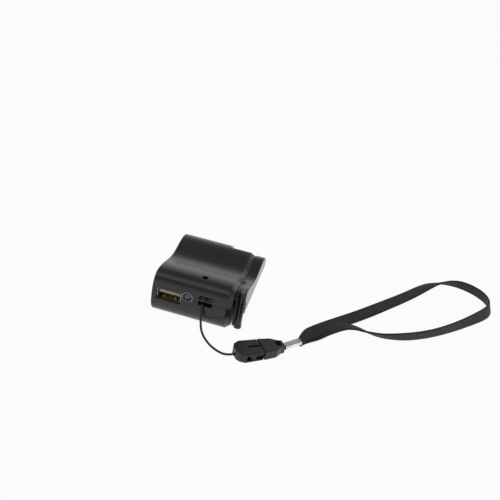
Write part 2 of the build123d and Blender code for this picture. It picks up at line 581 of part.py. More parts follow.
def make_components():
    """Capacitor, choke and regulator on the board."""
    can = rod_z(SOCKET_X + 2.6, -6.5, BOARD_TOP, BOARD_TOP + 7.6, 3.15)
    can -= rod_z(SOCKET_X + 2.6, -6.5, BOARD_TOP + 1.0, BOARD_TOP + 1.6, 4) - rod_z(
        SOCKET_X + 2.6, -6.5, BOARD_TOP + 1.0, BOARD_TOP + 1.6, 2.85
    )
    choke_x = TORCH_X + 0.4
    choke = rod_z(choke_x, -6.0, BOARD_TOP, BOARD_TOP + 0.8, 3.2)
    choke += rod_z(choke_x, -6.0, BOARD_TOP + 0.8, BOARD_TOP + 3.2, 2.2)
    choke += rod_z(choke_x, -6.0, BOARD_TOP + 3.2, BOARD_TOP + 4.0, 3.2)
    chip_x = SOCKET_X + 4.0
    chip = block(chip_x - 2.5, chip_x + 2.5, 1.6, 5.6, BOARD_TOP + 0.2, BOARD_TOP + 1.7)
    for k in range(4):
        x = chip_x - 1.9 + 1.27 * k
        chip += block(x - 0.2, x + 0.2, 0.6, 6.6, BOARD_TOP, BOARD_TOP + 0.4)
    return can, choke, chip


def make_leads():
    """Two wires from the generator's cap to the board."""
    leads = []
    for dz in (0.0, 3.0):
        z = SHAFT_Z + dz
        path = FilletPolyline(
            (CAN_X, ROTOR_Y - 5.2, z),
            (CAN_X - 2.2, ROTOR_Y - 5.2, z),
            (CAN_X - 2.2 - dz * 0.3, 4.4, BOARD_TOP + 3.2 + dz * 0.3),
            (CAN_X - 2.2 - dz * 0.3, 4.4, BOARD_TOP),
            radius=0.9,
        )
        leads.append(sweep(path.location_at(0) * Circle(0.4), path))
    return Part() + leads


def make_screws():
    """Four screws driven up from the resting side."""
    screws = []
    for x, y in SCREW_PLACES:
        screw = rod_z(x, y, 2.2, BOSS_MEET + 6, SCREW_RADIUS) + rod_z(x, y, 0.9, 2.2, SCREW_HEAD_RADIUS)
        for angle in (0, 90):
            screw -= Pos(x, y, 1.0) * Rot(0, 0, angle) * Box(2.2, 0.5, 1.0)
        screws.append(screw)
    return Part() + screws


# ---- Lanyard ----
BUCKLE_BACK = (26.9, -43.3)      # where the cord enters the buckle, on the ground plan
CORD_HOLE_Z = 1.7
CORD_ROUTE = [
    (EYE_X - 1.1, FRONT_Y - 0.2, EYE_Z - 1.6),
    (EYE_X - 1.2, FRONT_Y - 2.0, EYE_Z - 3.0),
    (EYE_X - 0.8, FRONT_Y - 2.1, EYE_Z - 7.4),
    (EYE_X - 0.2, FRONT_Y - 2.2, 5.4),
    (EYE_X + 0.7, FRONT_Y - 3.0, 2.4),
    (EYE_X + 2.6, FRONT_Y - 5.0, 0.8),
    (EYE_X + 5.6, FRONT_Y - 8.6, 0.62),
    (EYE_X + 9.6, FRONT_Y - 12.2, 0.62),
    (EYE_X + 14.4, FRONT_Y - 14.6, 0.62),
    (EYE_X + 18.4, FRONT_Y - 15.0, 0.66),
    (BUCKLE_BACK[0], BUCKLE_BACK[1], CORD_HOLE_Z),
]
FERRULE_START = (
    BUCKLE_BACK[0] + (BUCKLE_SOCKET_LENGTH + BUCKLE_PLUG_LENGTH + 0.6) * cos(radians(BUCKLE_ANGLE)),
    BUCKLE_BACK[1] + (BUCKLE_SOCKET_LENGTH + BUCKLE_PLUG_LENGTH + 0.6) * sin(radians(BUCKLE_ANGLE)),
)
FERRULE_END = (
    FERRULE_START[0] + FERRULE_LENGTH * cos(radians(FERRULE_ANGLE)),
    FERRULE_START[1] + FERRULE_LENGTH * sin(radians(FERRULE_ANGLE)),
)
STRAP_ROUTE = [
    (FERRULE_END[0], FERRULE_END[1]), (58.6, -10.0), (63.6, -1.2), (72.8, 11.2), (84.2, 25.0), (97.4, 42.8),
    (110.4, 60.6), (120.0, 75.4), (125.4, 81.8), (132.6, 86.6), (141.0, 88.2), (149.0, 85.8), (155.4, 81.0),
    (159.4, 74.4), (160.2, 66.6), (156.8, 58.4), (149.6, 48.6), (138.6, 34.6), (125.8, 21.2), (114.6, 12.6),
    (106.2, 8.4), (97.6, 5.6), (89.6, 6.4), (82.4, 8.8), (75.6, 8.2), (69.2, 2.8), (63.4, -5.0), (58.8, -12.4),
    (FERRULE_END[0], FERRULE_END[1]),
]
FLAT_OUT = slice(0, 9)           # lies flat from the sleeve to the first twist
ON_EDGE = slice(7, 24)           # stands on its edge round the far end
FLAT_BACK = slice(22, 29)        # lies flat again, over the first stretch, back to the sleeve


def route_radii(points):
    """Largest arc that both runs at each corner allow."""
    radii = []
    for before, corner, after in zip(points, points[1:], points[2:]):
        into = Vector(*corner) - Vector(*before)
        out = Vector(*after) - Vector(*corner)
        turn = radians(into.get_angle(out))
        radii.append(0.45 * min(into.length, out.length) / tan(turn / 2))
    return radii


def make_cord():
    """Thin round cord from the lanyard eye down to the ground and to the buckle."""
    radii = route_radii(CORD_ROUTE)
    print("cord radii", [round(r, 1) for r in radii])
    path = FilletPolyline(*CORD_ROUTE, radius=radii)
    section = path.location_at(0) * Circle(CORD_RADIUS)
    tube = sweep(section, path)
    share = tube.volume / (pi * CORD_RADIUS ** 2 * path.length)
    print("cord length", round(path.length, 2), "volume ratio", round(share, 3))
    return tube


def make_strap():
    """Woven loop: flat on the ground at both ends of its route, and on its edge round the far end."""
    strap = Part()
    stretches = (
        (FLAT_OUT, STRAP_WIDTH, STRAP_THICKNESS),
        (ON_EDGE, STRAP_THICKNESS, STRAP_WIDTH),
        (FLAT_BACK, STRAP_WIDTH, 2 * STRAP_THICKNESS),
    )
    for stretch, across, height in stretches:
        points = [(x, y, 0) for x, y in STRAP_ROUTE[stretch]]
        path = FilletPolyline(*points, radius=route_radii(points))
        print("strap stretch", round(path.length, 1))
        strap += extrude(trace(path, across), height)
    sleeve = Pos(FERRULE_LENGTH / 2, 0, 0) * Box(FERRULE_LENGTH, STRAP_WIDTH, FERRULE_THICKNESS)
    return strap - ferrule_place() * sleeve


def buckle_place():
    """Frame at the buckle's cord end: X along it, Z up, on the ground."""
    return Pos(BUCKLE_BACK[0], BUCKLE_BACK[1], 0) * Rot(0, 0, BUCKLE_ANGLE)


def make_buckle():
    """Socket half and two-pronged half of the side release buckle."""
    half = BUCKLE_WIDTH / 2
    outline = make_face(
        Polyline((0, -2.4), (1.2, -half + 1.6), (4.0, -half), (BUCKLE_SOCKET_LENGTH, -half + 0.5),
                 (BUCKLE_SOCKET_LENGTH, half - 0.5), (4.0, half), (1.2, half - 1.6), (0, 2.4), close=True)
    )
    socket = extrude(outline, BUCKLE_THICKNESS)
    socket = fillet(socket.edges().filter_by(Axis.Z), 0.8)
    socket = fillet(socket.edges().group_by(Axis.Z)[-1] + socket.edges().group_by(Axis.Z)[0], 0.7)
    mouth = BUCKLE_SOCKET_LENGTH
    cavity = block(4.5, mouth + 1, -half - 1, half + 1, 1.2, BUCKLE_THICKNESS - 1.2)
    rear_wall = block(4.5, 6.0, -half + 2.4, half - 2.4, 1.2, BUCKLE_THICKNESS - 1.2)
    slot = block(7.0, mouth + 1, -0.7, 0.7, BUCKLE_THICKNESS - 2, BUCKLE_THICKNESS + 1)
    cord_hole = Plane(origin=(-1, 0, CORD_HOLE_Z), x_dir=(0, 1, 0), z_dir=(1, 0, 0)) * Circle(CORD_RADIUS + 0.35)
    socket = socket - cavity + rear_wall - slot - extrude(cord_hole, 2.0)

    tail = mouth + BUCKLE_PLUG_LENGTH
    yoke_start = mouth + 0.3
    yoke_outline = make_face(
        Polyline((yoke_start, -half + 0.4), (yoke_start + 7.0, -half + 1.2), (tail - 2.0, -2.8), (tail, -2.4), (tail, 2.4),
                 (tail - 2.0, 2.8), (yoke_start + 7.0, half - 1.2), (yoke_start, half - 0.4), close=True)
    )
    yoke = extrude(yoke_outline, BUCKLE_THICKNESS)
    yoke = fillet(yoke.edges().group_by(Axis.Z)[-1] + yoke.edges().group_by(Axis.Z)[0], 0.6)
    yoke -= block(tail - 4.6, tail - 1.6, -1.9, 1.9, -1, BUCKLE_THICKNESS + 1)
    prongs = []
    for side in (-1, 1):
        arm = make_face(
            Polyline((yoke_start + 0.5, side * 2.6), (7.6, side * 3.2), (6.6, side * 4.2), (7.0, side * 5.6),
                     (9.6, side * (half - 0.35)), (11.6, side * 4.6), (yoke_start + 0.5, side * 4.6), close=True)
        )
        prongs.append(Pos(0, 0, 1.4) * extrude(arm, BUCKLE_THICKNESS - 2.8))
    guide = block(7.6, yoke_start + 0.5, -0.55, 0.55, 1.4, BUCKLE_THICKNESS - 0.7)
    plug = yoke + prongs + guide
    place = buckle_place()
    return place * socket, place * plug


def ferrule_place():
    """Frame at the sleeve's buckle end: X along it, Z up, at the buckle's middle level."""
    return Pos(FERRULE_START[0], FERRULE_START[1], BUCKLE_THICKNESS / 2) * Rot(0, 0, FERRULE_ANGLE)


def make_ferrule():
    """Crimped metal sleeve over both ends of the strap."""
    sleeve = Pos(FERRULE_LENGTH / 2, 0, 0) * Box(FERRULE_LENGTH, FERRULE_WIDTH, FERRULE_THICKNESS)
    sleeve = fillet(sleeve.edges().filter_by(Axis.X), 1.0)
    crease = Pos(FERRULE_LENGTH / 2, 0, FERRULE_THICKNESS / 2) * Box(FERRULE_LENGTH - 1.6, 0.5, 0.5)
    return ferrule_place() * (sleeve - crease)


def main():
    """Build and write every node."""
    upper, lower = make_shells()
    save(upper, "upper_shell")
    save(lower, "lower_shell")
    save(make_crank_hub(), "crank_hub")
    save(make_crank_arm(), "crank_arm")
    save(make_hinge_pin(), "hinge_pin")
    save(make_knob(), "crank_knob")
    save(make_knob_pin(), "knob_pin")
    save(make_bush(), "shaft_bush")
    save(make_circlip(), "shaft_circlip")
    save(make_drive_gear(), "drive_gear")
    save(make_compound_gear(FIRST_WHEEL_X, DRIVE_X, FIRST_Y), "first_gear")
    save(make_compound_gear(SECOND_WHEEL_X, FIRST_WHEEL_X, SECOND_Y), "second_gear")
    save(make_gear_plate(), "gear_plate")
    save(make_gear_axles(), "gear_axles")
    can, cap, magnets, rotor = make_generator()
    save(can, "generator_can")
    save(cap, "generator_cap")
    save(magnets, "generator_magnets")
    save(rotor, "generator_rotor")
    save(make_rotor_pinion(), "rotor_pinion")
    save(make_leads(), "generator_leads")
    shell, tongue, contacts = make_socket()
    save(shell, "usb_shell")
    save(tongue, "usb_tongue")
    save(contacts, "usb_contacts")
    bulb, ring = make_torch()
    save(bulb, "torch_lamp")
    save(ring, "torch_ring")
    save(make_indicator(), "indicator_lamp")
    save(make_board(), "circuit_board")
    capacitor, choke, chip = make_components()
    save(capacitor, "capacitor")
    save(choke, "choke")
    save(chip, "regulator_chip")
    save(make_screws(), "housing_screws")
    save(make_cord(), "lanyard_cord")
    socket, plug = make_buckle()
    save(socket, "buckle_socket")
    save(plug, "buckle_plug")
    save(make_ferrule(), "strap_ferrule")
    save(make_strap(), "wrist_strap")


main()
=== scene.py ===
"""Looks of the hand crank phone charger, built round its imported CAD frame."""

import logging
from dataclasses import dataclass
from enum import Enum
from math import cos, pi, radians, sin

import bpy
import numpy as np
from mathutils import Matrix, Vector


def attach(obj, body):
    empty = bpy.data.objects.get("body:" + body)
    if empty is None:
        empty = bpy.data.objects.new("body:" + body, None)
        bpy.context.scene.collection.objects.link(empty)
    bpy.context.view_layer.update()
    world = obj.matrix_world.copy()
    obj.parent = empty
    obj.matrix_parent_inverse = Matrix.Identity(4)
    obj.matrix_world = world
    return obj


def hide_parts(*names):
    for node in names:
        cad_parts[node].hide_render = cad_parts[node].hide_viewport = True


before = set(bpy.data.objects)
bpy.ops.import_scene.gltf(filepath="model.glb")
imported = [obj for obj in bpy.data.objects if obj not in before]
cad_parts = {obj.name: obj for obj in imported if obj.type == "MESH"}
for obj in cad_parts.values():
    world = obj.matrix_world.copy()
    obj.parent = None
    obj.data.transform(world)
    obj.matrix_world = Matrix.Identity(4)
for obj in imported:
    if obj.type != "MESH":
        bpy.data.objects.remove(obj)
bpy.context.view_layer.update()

LOG = logging.getLogger("charger")
MM = 0.001
WHITE = (1.0, 1.0, 1.0, 1.0)
Point = tuple[float, float, float]
Colour = tuple[float, float, float]


class Axis(Enum):
    """Direction of a turned or drawn surface's fine lines."""

    X = "X"
    Y = "Y"
    Z = "Z"


class Surface(Enum):
    """Where a fine pattern takes its coordinates from."""

    SOLID = "Object"
    CLOTH = "UV"


# ---- Shader maths ----
class Shade:
    """One node socket whose operators add the matching nodes."""

    def __init__(self, tree: "Tree", socket: bpy.types.NodeSocket) -> None:
        """Keep the socket and the tree it belongs to."""
        self.tree = tree
        self.socket = socket

    def _math(self, operation: str, first: object, second: object) -> "Shade":
        """Add a Math node.

        Args:
            operation: the node's operation.
            first: socket or number.
            second: socket or number.

        Returns:
            The node's value.
        """
        return self.tree.node("ShaderNodeMath", {"operation": operation}, {0: first, 1: second})

    def __add__(self, other: object) -> "Shade":
        """Sum of two values."""
        return self._math("ADD", self, other)

    __radd__ = __add__

    def __sub__(self, other: object) -> "Shade":
        """This value less another."""
        return self._math("SUBTRACT", self, other)

    def __rsub__(self, other: object) -> "Shade":
        """Another value less this one."""
        return self._math("SUBTRACT", other, self)

    def __mul__(self, other: object) -> "Shade":
        """Product of two values."""
        return self._math("MULTIPLY", self, other)

    __rmul__ = __mul__

    def largest(self, other: object) -> "Shade":
        """Greater of two values."""
        return self._math("MAXIMUM", self, other)

    def smooth(self, low: float, high: float) -> "Shade":
        """Rise softly from 0 to 1 between two values.

        Args:
            low: value where the rise starts.
            high: value where it ends.

        Returns:
            The softened value.
        """
        settings = {"interpolation_type": "SMOOTHSTEP"}
        return self.tree.node("ShaderNodeMapRange", settings, {0: self, 1: low, 2: high, 3: 0.0, 4: 1.0})


class Tree:
    """Adds nodes to one shader or geometry tree."""

    def __init__(self, tree: bpy.types.NodeTree) -> None:
        """Keep the tree."""
        self.tree = tree

    def raw(self, kind: str, settings: dict | None = None, inputs: dict | None = None) -> bpy.types.Node:
        """Add any node.

        Args:
            kind: the node's type.
            settings: its properties.
            inputs: values or links by socket name or number.

        Returns:
            The node.
        """
        node = self.tree.nodes.new(kind)
        for name, value in (settings or {}).items():
            setattr(node, name, value)
        for name, value in (inputs or {}).items():
            socket = node.inputs[name]
            if isinstance(value, Shade):
                self.tree.links.new(value.socket, socket)
            else:
                socket.default_value = value
        return node

    def node(
        self, kind: str, settings: dict | None = None, inputs: dict | None = None, output: str | int = 0
    ) -> Shade:
        """Add a node and give one of its outputs.

        Args:
            kind: the node's type.
            settings: its properties.
            inputs: values or links by socket name or number.
            output: name or number of the output wanted.

        Returns:
            That output.
        """
        return Shade(self, self.raw(kind, settings, inputs).outputs[output])

    def mix(self, share: object, first: object, second: object) -> Shade:
        """Blend two colours.

        Args:
            share: how much of the second, from 0 to 1.
            first: colour or link.
            second: colour or link.

        Returns:
            The blended colour.
        """
        settings = {"data_type": "RGBA"}
        return self.node("ShaderNodeMix", settings, {0: share, 6: first, 7: second}, 2)

    def place(self, surface: Surface = Surface.SOLID, scale: Point = (1.0, 1.0, 1.0)) -> Shade:
        """Coordinates on the piece, stretched.

        Args:
            surface: the object's own space or its cloth map.
            scale: stretch along each axis.

        Returns:
            The coordinates.
        """
        where = self.node("ShaderNodeTexCoord", output=surface.value)
        return self.node("ShaderNodeMapping", None, {"Vector": where, "Scale": scale})

    def noise(self, where: Shade, scale: float, detail: float = 2.0) -> Shade:
        """Cloudy value from 0 to 1.

        Args:
            where: coordinates.
            scale: cycles in a metre.
            detail: number of finer layers.

        Returns:
            The value.
        """
        return self.node("ShaderNodeTexNoise", None, {"Vector": where, "Scale": scale, "Detail": detail})

    def sine(self, angle: Shade) -> Shade:
        """Sine of an angle in radians."""
        return self.node("ShaderNodeMath", {"operation": "SINE"}, {0: angle})

    def bump(self, height: Shade, depth: float) -> Shade:
        """Small relief.

        Args:
            height: value of the relief from 0 to 1.
            depth: its depth in millimetres.

        Returns:
            The bent normal.
        """
        return self.node("ShaderNodeBump", None, {"Height": height, "Distance": depth * MM, "Strength": 1.0})


def shade_of(colour: Colour, gain: float = 1.0, lift: float = 0.0) -> tuple[float, float, float, float]:
    """Brighten or darken a colour.

    Args:
        colour: the colour in linear light.
        gain: factor on each part.
        lift: amount added to each part.

    Returns:
        The colour with its fourth value.
    """
    return (*(min(1.0, part * gain + lift) for part in colour), 1.0)


def new_material(name: str) -> tuple[bpy.types.Material, Tree, bpy.types.Node]:
    """Start a material.

    Args:
        name: the finish's name.

    Returns:
        The material, its tree and its surface shader.
    """
    material = bpy.data.materials.new(name)
    material.use_nodes = True
    tree = Tree(material.node_tree)
    return material, tree, material.node_tree.nodes["Principled BSDF"]


def link(tree: Tree, shade: Shade, socket: bpy.types.NodeSocket) -> None:
    """Link a value to a shader's socket."""
    tree.tree.links.new(shade.socket, socket)


def coat(shader: bpy.types.Node, colour: Shade, roughness: Shade, normal: Shade | None = None) -> None:
    """Link a finish's varying values to its surface shader.

    Args:
        shader: the surface shader.
        colour: its colour.
        roughness: its roughness.
        normal: its bent normal, where it has relief.
    """
    link(colour.tree, colour, shader.inputs["Base Color"])
    link(roughness.tree, roughness, shader.inputs["Roughness"])
    if normal:
        link(normal.tree, normal, shader.inputs["Normal"])


# ---- Finishes ----
@dataclass(frozen=True)
class Moulding:
    """Injection moulded plastic with a faint orange peel and handling marks."""

    name: str
    colour: Colour
    roughness: float = 0.3
    peel: float = 0.012
    grain: float = 0.0
    spread: float = 0.08
    wear_scale: float = 60.0
    wear_share: float = 0.6
    fine_scale: float = 900.0
    fine_spread: float = 0.04
    peel_scale: float = 420.0
    grain_scale: float = 5200.0

    def build(self) -> bpy.types.Material:
        """Make the material."""
        material, tree, shader = new_material(self.name)
        where = tree.place()
        wear = tree.noise(where, self.wear_scale, 4.0)
        fine = tree.noise(where, self.fine_scale)
        share = wear.smooth(0.45, 0.7) * self.wear_share
        colour = tree.mix(share, shade_of(self.colour), shade_of(self.colour, 1.25, 0.002))
        roughness = self.roughness + self.spread * (wear - 0.5) + self.fine_spread * (fine - 0.5)
        relief = tree.noise(where, self.peel_scale, 1.0)
        if self.grain:
            relief = relief + self.grain * tree.noise(where, self.grain_scale)
        coat(shader, colour, roughness, tree.bump(relief, self.peel))
        return material


@dataclass(frozen=True)
class Metal:
    """Turned, drawn or plated metal."""

    name: str
    colour: Colour
    roughness: float = 0.25
    lines: Axis = Axis.X
    depth: float = 0.004
    stretch: float = 8.0
    line_scale: float = 900.0
    dull_scale: float = 240.0
    dull_gain: float = 0.72

    def build(self) -> bpy.types.Material:
        """Make the material."""
        material, tree, shader = new_material(self.name)
        shader.inputs["Metallic"].default_value = 1.0
        stretch = tuple(self.stretch if axis is self.lines else 1.0 for axis in Axis)
        streaks = tree.noise(tree.place(scale=stretch), self.line_scale, 3.0)
        dull = tree.noise(tree.place(), self.dull_scale, 3.0)
        dark = shade_of(self.colour, self.dull_gain)
        colour = tree.mix(dull.smooth(0.35, 0.75), shade_of(self.colour), dark)
        roughness = self.roughness + 0.16 * (dull - 0.4) + 0.1 * (streaks - 0.5)
        coat(shader, colour, roughness, tree.bump(streaks, self.depth))
        return material


@dataclass(frozen=True)
class Resin:
    """Lamp resin, clear or tinted."""

    name: str
    colour: Colour
    clear: float
    roughness: float = 0.06
    refraction: float = 1.5
    cloud_scale: float = 500.0
    cloud_gain: float = 0.9

    def build(self) -> bpy.types.Material:
        """Make the material."""
        material, tree, shader = new_material(self.name)
        shader.inputs["Transmission Weight"].default_value = self.clear
        shader.inputs["IOR"].default_value = self.refraction
        cloud = tree.noise(tree.place(), self.cloud_scale)
        milky = shade_of(self.colour, self.cloud_gain)
        colour = tree.mix(cloud.smooth(0.4, 0.7), shade_of(self.colour), milky)
        coat(shader, colour, self.roughness + 0.04 * cloud)
        return material


@dataclass(frozen=True)
class Webbing:
    """Flat woven tape with ribs along it and bars across."""

    name: str
    colour: Colour
    ribs: float = 16.0
    bars: float = 1150.0
    fluff_scale: float = 3000.0
    wear_scale: float = 120.0
    sheen: float = 0.03
    sheen_roughness: float = 0.4
    roughness: float = 0.78
    depth: float = 0.12

    def build(self) -> bpy.types.Material:
        """Make the material. The map's first value runs across the tape, the second along it in metres."""
        material, tree, shader = new_material(self.name)
        cloth = tree.node("ShaderNodeTexCoord", output=Surface.CLOTH.value)
        parts = tree.raw("ShaderNodeSeparateXYZ", None, {"Vector": cloth})
        across = Shade(tree, parts.outputs[0])
        along = Shade(tree, parts.outputs[1])
        rib = tree.sine(across * (2 * pi * self.ribs))
        bar = tree.sine(along * (2 * pi * self.bars) + 1.6 * rib)
        weave = 0.5 + 0.25 * rib + 0.25 * bar
        fluff = tree.noise(tree.place(), self.fluff_scale, 3.0)
        worn = tree.noise(tree.place(), self.wear_scale, 3.0)
        shader.inputs["Sheen Weight"].default_value = self.sheen
        shader.inputs["Sheen Roughness"].default_value = self.sheen_roughness
        share = (0.6 * weave + 0.4 * fluff) * worn.smooth(0.25, 0.8)
        colour = tree.mix(share, shade_of(self.colour), shade_of(self.colour, 2.0, 0.012))
        relief = tree.bump(weave + 0.3 * fluff, self.depth)
        coat(shader, colour, self.roughness + 0.15 * (fluff - 0.5), relief)
        return material


@dataclass(frozen=True)
class Braid:
    """Thin round braided cord."""

    name: str
    colour: Colour
    strand_scale: float = 2400.0
    fluff_scale: float = 4200.0
    roughness: float = 0.72
    depth: float = 0.12

    def build(self) -> bpy.types.Material:
        """Make the material."""
        material, tree, shader = new_material(self.name)
        strands = tree.node(
            "ShaderNodeTexVoronoi",
            {"feature": "F1"},
            {"Vector": tree.place(), "Scale": self.strand_scale},
            "Distance",
        )
        fluff = tree.noise(tree.place(), self.fluff_scale)
        raised = 1.0 - strands.smooth(0.1, 0.7)
        colour = tree.mix(raised, shade_of(self.colour), shade_of(self.colour, 2.4, 0.012))
        coat(shader, colour, self.roughness + 0.2 * (fluff - 0.5), tree.bump(1.0 - strands, self.depth))
        return material


@dataclass(frozen=True)
class Board:
    """Solder mask with tracks under it."""

    name: str
    mask: Colour
    track: Colour
    track_scale: float = 330.0
    roughness: float = 0.32
    depth: float = 0.03

    def build(self) -> bpy.types.Material:
        """Make the material."""
        material, tree, shader = new_material(self.name)
        cells = tree.node(
            "ShaderNodeTexVoronoi",
            {"distance": "MANHATTAN", "feature": "F1"},
            {"Vector": tree.place(), "Scale": self.track_scale, "Randomness": 0.8},
            "Distance",
        )
        track = cells.smooth(0.42, 0.5)
        colour = tree.mix(track, shade_of(self.mask), shade_of(self.track))
        coat(shader, colour, self.roughness + 0.08 * track, tree.bump(track, self.depth))
        return material


BLACK_ABS = Moulding("black_abs", (0.0125, 0.0128, 0.0158), 0.24, 0.006, 0.0, 0.06)
CRANK_ABS = Moulding("crank_abs", (0.0125, 0.0128, 0.0155), 0.2, 0.005, 0.0, 0.06)
ACETAL = Moulding("black_acetal", (0.011, 0.011, 0.0125), 0.38, 0.01, 0.3)
GREY_ABS = Moulding("grey_abs", (0.25, 0.25, 0.26), 0.4)
WHITE_ACETAL = Moulding("white_acetal", (0.8, 0.79, 0.74), 0.42)
IVORY = Moulding("ivory_plastic", (0.66, 0.58, 0.44), 0.4)
CHIP = Moulding("moulded_epoxy", (0.03, 0.03, 0.032), 0.55, 0.01, 0.5)
SLEEVE = Moulding("capacitor_sleeve", (0.03, 0.04, 0.16), 0.25)
MAGNET = Moulding("sintered_magnet", (0.06, 0.06, 0.065), 0.6, 0.02, 0.5)
FERRITE = Moulding("ferrite_bobbin", (0.07, 0.07, 0.075), 0.55, 0.02, 0.5)
WIRE = Moulding("wire_insulation", (0.45, 0.03, 0.025), 0.4)
STEEL = Metal("turned_steel", (0.56, 0.56, 0.57), 0.28)
# Steel for the hinge pin, coloured darker than the turned steel.
DARK_STEEL = Metal("dark_pin_steel", (0.16, 0.16, 0.17), 0.3)
PLATED = Metal("plated_sheet", (0.62, 0.57, 0.50), 0.22, Axis.Y)
FERRULE = Metal("plated_crimp", (0.86, 0.86, 0.85), 0.16)
# Chrome for the torch ring, given a dark grey colour.
CHROME = Metal("dark_chrome_ring", (0.20, 0.20, 0.22), 0.22, Axis.Y)
BRASS = Metal("turned_brass", (0.72, 0.55, 0.27), 0.25)
GOLD = Metal("contact_gold", (0.86, 0.63, 0.27), 0.2, Axis.Y)
COPPER = Metal("enamelled_wire", (0.62, 0.25, 0.10), 0.25)
CLEAR = Resin("clear_resin", (0.95, 0.94, 1.0), 0.9)
TINTED = Resin("tinted_resin", (0.035, 0.012, 0.014), 0.35)
CUP = Metal("lamp_cup", (0.8, 0.8, 0.84), 0.12, Axis.Y)
BOARD = Board("solder_mask", (0.015, 0.12, 0.045), (0.04, 0.24, 0.09))
CLOTH = Webbing("woven_tape", (0.011, 0.011, 0.0125))
CORD = Braid("braided_cord", (0.012, 0.012, 0.013))

NODE_FINISHES = {
    BLACK_ABS: ("upper_shell", "lower_shell"),
    CRANK_ABS: ("crank_hub", "crank_arm", "crank_knob"),
    ACETAL: ("buckle_socket", "buckle_plug"),
    GREY_ABS: ("gear_plate",),
    WHITE_ACETAL: ("drive_gear", "first_gear", "second_gear", "generator_cap"),
    IVORY: ("usb_tongue",),
    CHIP: ("regulator_chip",),
    SLEEVE: ("capacitor",),
    MAGNET: ("generator_magnets",),
    FERRITE: ("choke",),
    WIRE: ("generator_leads",),
    DARK_STEEL: ("hinge_pin",),
    STEEL: ("knob_pin", "shaft_circlip", "gear_axles", "generator_rotor", "housing_screws"),
    PLATED: ("usb_shell", "generator_can"),
    FERRULE: ("strap_ferrule",),
    CHROME: ("torch_ring",),
    BRASS: ("shaft_bush", "rotor_pinion"),
    GOLD: ("usb_contacts",),
    CLEAR: ("torch_lamp",),
    TINTED: ("indicator_lamp",),
    BOARD: ("circuit_board",),
    CORD: ("lanyard_cord",),
    CLOTH: ("wrist_strap",),
}


class Paints:
    """Builds each finish once."""

    def __init__(self) -> None:
        """Start with none built."""
        self.built: dict[str, bpy.types.Material] = {}

    def get(self, finish: object) -> bpy.types.Material:
        """Give a finish's material."""
        if finish.name not in self.built:
            self.built[finish.name] = finish.build()
        return self.built[finish.name]

    def dress_frame(self) -> None:
        """Give every CAD node its finish."""
        for finish, nodes in NODE_FINISHES.items():
            for node in nodes:
                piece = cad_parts[node]
                if not piece.material_slots:
                    piece.data.materials.append(None)
                for slot in piece.material_slots:
                    slot.link = "OBJECT"
                    slot.material = self.get(finish)
                LOG.info("%s takes %s", node, finish.name)


# ---- Studio ----
@dataclass(frozen=True)
class Camera:
    """Camera fitted to the photograph, in millimetres and degrees."""

    place: Point = (71.08, -323.31, 216.24)
    down: float = 28.5493
    heading: float = -9.2614
    roll: float = 10.2916
    lens: float = 50.283
    sensor: float = 36.0

    def build(self) -> None:
        """Make it the scene's camera."""
        pitch, turn, lean = radians(self.down), radians(self.heading), radians(self.roll)
        ahead = Vector((sin(turn) * cos(pitch), cos(turn) * cos(pitch), -sin(pitch)))
        right = Vector((cos(turn), -sin(turn), 0.0))
        up = right.cross(ahead)
        side = right * cos(lean) + up * sin(lean)
        top = -right * sin(lean) + up * cos(lean)
        data = bpy.data.cameras.new("camera")
        data.lens = self.lens
        data.sensor_width = self.sensor
        data.clip_start = 10 * MM
        data.clip_end = 20000 * MM
        camera = bpy.data.objects.new("camera", data)
        rotation = Matrix((side, top, -ahead)).transposed().to_4x4()
        camera.matrix_world = Matrix.Translation(Vector(self.place) * MM) @ rotation
        bpy.context.scene.collection.objects.link(camera)
        bpy.context.scene.camera = camera


@dataclass(frozen=True)
class Softbox:
    """One soft rectangular lamp aimed at a point, in metres and watts."""

    name: str
    place: Point
    size: tuple[float, float]
    power: float
    aim: Point = (0.02, 0.0, 0.01)
    mirrored: bool = True

    def build(self) -> None:
        """Hang it and aim it."""
        data = bpy.data.lights.new(self.name, "AREA")
        data.shape = "RECTANGLE"
        data.size, data.size_y = self.size
        data.energy = self.power
        lamp = bpy.data.objects.new(self.name, data)
        lamp.location = self.place
        lamp.visible_glossy = self.mirrored
        lamp.rotation_euler = (Vector(self.aim) - Vector(self.place)).to_track_quat("-Z", "Y").to_euler()
        bpy.context.scene.collection.objects.link(lamp)


